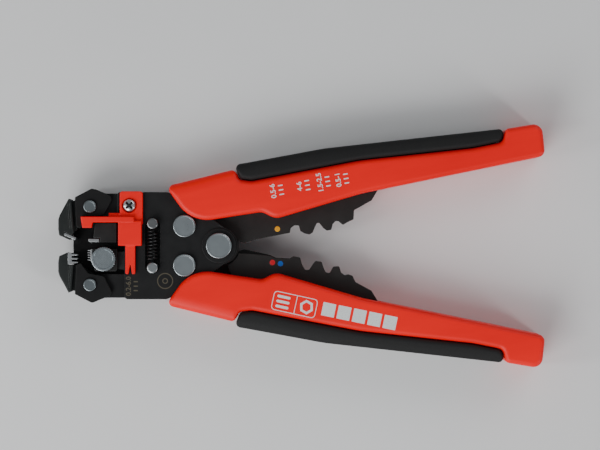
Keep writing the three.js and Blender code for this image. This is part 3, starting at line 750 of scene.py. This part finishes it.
UPPER_DIES = [
    (30.5, 7.5, 1), (32, 8.6, 1), (33.9, 8.6, 0.6), (34.6, 6.2, 0.8), (36.4, 5.2, 1), (38.5, 4.7, 0.9),
    (39.9, 5.6, 0.8), (40.8, 7.9, 0.8), (41.7, 9.7, 0.8), (42.7, 9.7, 0.6), (44.4, 7.5, 0.8),
    (45.9, 6.4, 0.8), (47.8, 6.7, 0.8), (48.4, 9.1, 0.8), (49.6, 10.5, 0.8), (50.9, 10.4, 0.6),
    (52.8, 8.8, 0.7), (54.4, 9.8, 0.6), (57.3, 11.2, 0.4), (57.5, 15.1, 0.8), (59.9, 16.4, 1), (65, 19.3),
]
LOWER_DIES = [
    (31.6, 4.6, 0.4), (34.5, 5.1, 0.6), (35.3, 8, 0.8), (36.6, 10.4, 0.9), (38.4, 10.4, 0.9),
    (39.9, 8, 0.8), (41.1, 6.6, 0.7), (43.7, 6.9, 0.7), (44.6, 9.6, 0.8), (45.5, 11.5, 0.8),
    (47.2, 11.8, 0.8), (48.7, 9, 0.8), (51.2, 8.8, 0.7), (52, 11.5, 0.7), (53.6, 12.7, 0.8),
    (55.1, 12.3, 0.6), (56.9, 12.9, 0.6), (57.5, 14.2, 0.8), (58.2, 15.6, 0.8), (65, 19.3),
]
# The edge of each handle's cutting plate, and the edge of its other plate, which stays clear of the cut.
SHEAR = {
    "upper": [
        (8.3, 2.1), (10.75, 1), (15.6, 2.6), (21.7, 3.8), (27.2, 4.9), (30.1, 5.4, 0.3), *UPPER_DIES],
    "lower": [
        (8.3, 2.2), (10.75, 1.6), (13.2, 2.2), (18, 3.2), (21.7, 4.1), (24.1, 5.2), (30.1, 5.5),
        *LOWER_DIES],
}
CLEAR = {
    "upper": [
        (9.6, 3.2), (11, 2.9), (15.6, 3.3), (21.7, 4.2), (27.2, 5.1), (30.1, 5.6, 0.3), *UPPER_DIES],
    "lower": [
        (9.4, 3.4), (10.7, 3.3), (15.6, 3.7), (21.7, 4.4), (24.1, 5.4), (30.1, 5.7), *LOWER_DIES],
}
TANG = [
    (69, 25.9, 1), (128, 38.6, 3), (127, 45.6, 3), (112, 39.8, 8), (60, 33.4, 20), (14, 24.6, 8),
    (10, 24.4),
]
NOSE = [
    (-2, 23.4, 6), (-14, 17.5, 6), (-22.6, 18.6, 2.4), (-27.6, 16.4, 2.4), (-25, 11.6, 3),
    (-21.5, 7.6, 4), (-19.2, 1.4, 2.5), (-13.2, 0.8, 4),
]


def swept_bores(x, y, radius, turn, steps=4):
    """Bores for a pin that turns about the main pivot."""
    angles = [math.radians(turn * i / steps) for i in range(steps + 1)]
    return [bore(x * math.cos(a) - y * math.sin(a), x * math.sin(a) + y * math.cos(a), radius, sides=32)
            for a in angles]


def handle_plate(side, half):
    hubbed = (half == "front") == (side == "upper")
    if hubbed:
        corners = [*arc(HUB, 200, 345, 40), *SHEAR[side], *TANG, *NOSE]
    else:
        corners = [*arc(HUB + 0.5, 68, 22, 16), *CLEAR[side], *TANG]
    y = SIDES[side]
    low, high = (0.15, 3) if half == "front" else (-3, -0.15)
    plate = flat_piece(f"{side}_handle_lamination_{half}", on_side(side, corners, 12), low, high)
    round_rim(plate, high if half == "front" else low, 0.18, 2)
    tools = [bore(px, py * y, 2.1) for px, py in TANG_RIVETS]
    if hubbed:
        tools += [bore(0, 0, 3.35), bore(DRIVE_PIN[0], DRIVE_PIN[1] * y, 1.7)]
        tools += swept_bores(ARM_RIVET[0], ARM_RIVET[1] * y, 2.85, 9 * y)
    work(plate, "DIFFERENCE", *tools)
    fit(plate, "handle_steel", f"{side}_handle_plate_{half}")


def make_plates():
    for side in SIDES:
        for half in ("front", "back"):
            handle_plate(side, half)
    outline = [
        (2.5, -7.6), (-8, -15.5, 8), (-22, -22.8, 3), (-40.2, -22.8, 1.5), (-40.2, 0), (-42.3, 0),
        (-42.3, 10.6), (-43.4, 10.6), (-43.4, 22.8, 1.5), (-22, 22.8, 3), (-8, 15.5, 8), (2.5, 7.6),
        *arc(8, 72, -72, 36),
    ]
    outline.reverse()
    front = flat_piece("front_side_plate", rounded(outline, 12), PLATE_IN, PLATE_OUT)
    round_rim(front, PLATE_OUT, 0.3)
    round_rim(front, PLATE_IN, 0.2, 1)
    back = copied(front, "back_side_plate", "z")
    pins = [(0, 0, 3.35), (*ARM_RIVET, 2.85), (ARM_RIVET[0], -ARM_RIVET[1], 2.85)]
    work(front, "DIFFERENCE", *[bore(*pin) for pin in pins],
         block("spring_window", (-31.35, -25.05), (-11.55, 11.55), 3.1, 4, 9, 14),
         block("screw_slot", (-41.75, -34.75), (15.35, 18.85), 1.7, 4, 9, 14),
         flat_piece("nut_groove", [(-42.7, 14.4), (-33.8, 14.4), (-33.8, 19.8), (-42.7, 19.8)], 4.5, 6.7))
    work(back, "DIFFERENCE", *[bore(*pin) for pin in pins])
    fit(front, "black_steel", "side_plate_front")
    fit(back, "black_steel", "side_plate_back")


# ---- length stop ----
def make_stop():
    bar = flat_piece("length_stop_moulded", rounded([
        (-42.1, 9, 0.4), (-32.3, 9, 0.4), (-32.3, 23.1, 1.2), (-42.1, 23.1, 1.2)]), 7.8, 9.3)
    round_rim(bar, 9.3, 0.3)
    boss = block("boss", (-42.7, -32.7), (0, 10.6), 0.5, 7.8, 10.7)
    round_rim(boss, 10.7, 0.4)
    arm = flat_piece("arm", rounded([
        (-58.6, 12.4, 0.3), (-57.9, 7.6, 0.3), (-53.9, 7.6, 0.3), (-53.5, 9.9, 0.3),
        (-36, 9.9), (-36, 12.4)]), 8.2, 10.9)
    round_rim(arm, 10.9, 0.28)
    step = flat_piece("step", rounded([
        (-46.8, 11.5, 0.2), (-41.9, 11.5), (-41.9, 13.9), (-46.8, 13.9, 0.3)]), 7.8, 9)
    tail = flat_piece("tail", rounded([
        (-39.7, 1), (-39.7, -12, 0.6), (-38.4, -12.1, 0.5), (-37.75, -8.2, 0.2), (-37.45, -8.2, 0.2),
        (-36.9, -12.1, 0.5), (-35.5, -12, 0.6), (-35.5, 1)]), 7.8, 9.4)
    round_rim(tail, 9.4, 0.2, 2)
    work(bar, "UNION", boss, arm, step, tail)
    work(bar, "DIFFERENCE", bore(*STOP_SCREW, 1.8), bore(*STOP_SCREW, 3.05, 8.2))
    fit(bar, "red_stop", "length_stop")


# ---- jaws, inserts and blades ----
BILL = [
    (-64, 20), (-67.8, 13, 0.8), (-68.4, 11.1, 0.8), (-68.4, 7, 1), (-68, 4.4, 0.6), (-63.3, 2.35, 0.6),
    (-61.6, 5.8, 0.6), (-62.7, 19.4),
]
LEDGE = [(-62.9, 19, 0.3), (-61.8, 6, 0.3), (-60.6, 6.6, 0.5), (-59.7, 10, 0.5), (-59.9, 19.6, 0.5)]
CORE = [
    (-62.5, 18.6, 0.5), (-62, 8, 0.5), (-58.6, 8.6, 1.5), (-54.4, 11.4, 3), (-50, 14, 3), (-50, 19.6, 3),
    (-55, 22, 4),
]
CHEEK = [
    (-61.3, 20.6, 0.6), (-60.8, 8.2, 0.4), (-59, 7.2, 0.8), (-55.6, 11.6, 1), (-48.9, 12.9, 1),
    (-45.5, 19.7, 0.8), (-46.3, 21.1, 0.8), (-54, 24.4, 1.5),
]
UPPER_HOLDER = [
    (-50.6, 1.35), (-43.5, 1.35, 0.4), (-43.5, 9.8, 0.4), (-52.7, 9.8, 0.6), (-53.5, 3.2), (-50.6, 3.2)]
LOWER_HOLDER = [(-53.5, -1.35), (-43.2, -1.35, 0.4), (-43.2, -10.9, 1.2), (-53, -10.9, 1.2)]
UPPER_INSERT = (-63.35, 3.95)
INSERT_TURN = -24.1


def comb(name, back, face, tip, start, end, rows):
    """A hard insert with a row of teeth along one face."""
    pitch = (end - start) / rows
    edge = [(back, start), (face, start)]
    for i in range(rows):
        y = start + pitch * (i + 0.5)
        root, crest = pitch * 0.24, pitch * 0.15
        edge += [(face, y - root), (tip, y - crest), (tip, y + crest), (face, y + root)]
    edge += [(face, end), (back, end)]
    return flat_piece(name, rounded(edge), -2.9, 7.95)


def make_jaws():
    for side, y in SIDES.items():
        def shaped(name, corners, low, high):
            return flat_piece(name, on_side(side, corners, 14), low, high)

        rivet_hole = (JAW_RIVET[0], JAW_RIVET[1] * y, 2.15)
        bill = shaped(f"{side}_jaw_forged", BILL, -3, PLATE_OUT)
        round_rim(bill, PLATE_OUT, 0.55)
        round_rim(bill, -3, 0.45, 2)
        for x in (-63.35, -64.15):
            work(bill, "DIFFERENCE", strip(x, 12.6 * y, 10.5, 0.26, 90 + 4.5 * y, 7.3, 8, 0.1))
        ledge = shaped("ledge", LEDGE, -2.9, 5.2)
        round_rim(ledge, 5.2, 0.25, 2)
        work(bill, "UNION", ledge, shaped("core", CORE, -2.95, 2.95))
        if side == "upper":
            room = strip(*UPPER_INSERT, 5.9, 1.7, INSERT_TURN, -5, 9)
        else:
            room = flat_piece("insert_room", [(-64.5, -8.2), (-58, -8.2), (-58, -1), (-64.5, -1)], -5, 9)
        work(bill, "DIFFERENCE", room, bore(*rivet_hole))
        fit(bill, "ash_steel", f"{side}_grip_jaw")
        front = shaped(f"{side}_cheek_front", CHEEK, PLATE_IN, PLATE_OUT)
        round_rim(front, PLATE_OUT, 0.32)
        round_rim(front, PLATE_IN, 0.2, 1)
        work(front, "DIFFERENCE", bore(*rivet_hole))
        back = copied(front, f"{side}_cheek_back", "z")
        fit(front, "cheek_steel", f"{side}_jaw_cheek_front")
        fit(back, "cheek_steel", f"{side}_jaw_cheek_back")
    bar = strip(*UPPER_INSERT, 5.3, 1.1, INSERT_TURN, -2.9, 7.95, 0.15)
    bar.name = "upper_insert_ground"
    round_rim(bar, 7.95, 0.14, 2)
    fit(bar, "bright_steel", "upper_jaw_insert")
    insert = comb("lower_insert_toothed", -64.2, -62.6, -60.1, -7.9, -3.1, 3)
    fit(insert, "bright_steel", "lower_jaw_insert")
    blade = flat_piece("upper_blade_ground", rounded([
        (-55.5, 2.9, 0.2), (-55.5, 2), (-54.9, 1.5), (-51, 1.5), (-51, 2.9)]), -2.9, 7.7)
    round_rim(blade, 7.7, 0.12, 2)
    fit(blade, "bright_steel", "upper_blade")
    fit(comb("lower_blade_toothed", -53.85, -54.5, -55.8, -6.5, -1.5, 5), "bright_steel", "lower_blade")
    upper = flat_piece("upper_holder_milled", rounded(UPPER_HOLDER, 14), 3.25, PLATE_OUT)
    lower = flat_piece("lower_holder_milled", rounded(LOWER_HOLDER, 14), 3.25, PLATE_OUT)
    work(lower, "DIFFERENCE", bore(*KNOB, 2.15))
    for holder, side in ((upper, "upper"), (lower, "lower")):
        round_rim(holder, PLATE_OUT, 0.3)
        fit(holder, "holder_steel", f"{side}_blade_holder")


# ---- marks: painted dots, plain scale numbers and bars ----
def joined(name, pieces):
    hold(pieces[0])
    for piece in pieces:
        piece.select_set(True)
    bpy.ops.object.join()
    pieces[0].name = name
    return pieces[0]


def numbers(words, x, y, height, size, turn):
    """Plain numbers laid on a face, centred on a place."""
    clear_selection()
    bpy.ops.object.text_add(location=place(x, y, height), rotation=(0, 0, math.radians(turn)))
    text = bpy.context.object
    text.data.body = words
    text.data.size = size * MM
    text.data.align_x = "CENTER"
    text.data.align_y = "CENTER"
    text.data.extrude = 0.015 * MM
    text.data.offset = 0.05 * MM
    text.data.resolution_u = 4
    bpy.ops.object.convert(target="MESH")
    bpy.ops.object.transform_apply(location=True, rotation=True, scale=True)
    face_outwards(text)
    return text


def apply_mark(piece, finish, body):
    piece.data.materials.clear()
    piece.data.materials.append(FINISH[finish])
    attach(piece, body)


def make_marks():
    low, high = 10.95, 11
    scale = []
    sizes = (("0.5-6", 23.1, 23.2), ("4-6", 34.3, 25.2), ("1.5-2.5", 42.9, 26.8), ("0.5-1", 50.7, 28))
    lean = math.radians(10)
    for words, x, y in sizes:
        scale.append(numbers(words, x, y, 10.985, 3, 100))
        for k in (-1, 0, 1):
            scale.append(strip(x + 3.3 - 1.9 * k * math.sin(lean), y + 0.5 + 1.9 * k * math.cos(lean),
                               2, 0.5, 10, low, high))
    apply_mark(joined("upper_grip_scale", scale), "white_ink", "upper_handle")

    turn = -12.3
    frame_box = strip(32.1, -24.9, 19, 8.2, turn, low, high, 1.6)
    work(frame_box, "DIFFERENCE", strip(32.1, -24.9, 18.4, 7.6, turn, low - 1, high + 1, 1.4))
    plate = [frame_box, strip(32.6, -25, 0.3, 7.8, turn, low, high, 0.05)]
    for k in (-1, 0, 1):
        plate.append(strip(27.2 + 0.45 * k, -23.85 + 2.1 * k, 5.6, 1.1, turn, low, high, 0.5))
    plate.append(ring(37.2, -26, 3.1, 2, low, high, 6))
    plate += [strip(46.6 + 6.5 * k, -27.15 - 1.35 * k, 5.5, 5.7, -11.7, low, high) for k in range(5)]
    apply_mark(joined("lower_grip_plate_marks", plate), "white_ink", "lower_handle")

    low, high = 7.49, 7.53
    etched = [numbers("0.2-6.0", -38.4, -17.2, 7.505, 3, 90),
              ring(-22.9, -15, 3.4, 3, low, high, 48), ring(-22.9, -15, 1.2, 0.8, low, high, 32)]
    etched += [strip(-35.4, -17.2 + 1.9 * k, 1.8, 0.5, 0, low, high) for k in (-1, 0, 1)]
    apply_mark(joined("side_plate_marks", etched), "etched", "head")

    radius = 1.15
    dots = (("yellow_dot", 24.8, 7.1, "upper_handle"), ("red_dot", 22.7, -7.2, "lower_handle"),
            ("blue_dot", 26.1, -7.7, "lower_handle"))
    for name, x, y, body in dots:
        dot = turned(name, x, y, [
            (radius, 2.97), (radius, 3.02), (radius - 0.12, 3.06), (radius - 0.4, 3.08)], 40)
        apply_mark(dot, name, body)


# ---- the floor ----
def lay_floor():
    bpy.ops.mesh.primitive_plane_add(size=3, location=(0, 0, -0.0002))
    floor = bpy.context.object
    floor.name = "bench_top"
    finish = Finish("pale_bench")
    cloud = finish.noise(14, 4)
    base = finish.blend(cloud, (0.74, 0.745, 0.75, 1), (0.8, 0.8, 0.8, 1))
    floor.data.materials.append(finish.done(Base_Color=base, Roughness=cloud * 0.1 + 0.6))
    bpy.ops.object.transform_apply(location=True, rotation=True, scale=True)


bpy.ops.object.select_all(action="DESELECT")
finish_cad_nodes()
set_camera()
set_lights()
lay_floor()
make_grips()
make_rivets()
make_springs()
make_knob()
make_stop_screw()
make_plates()
make_stop()
make_jaws()
make_marks()
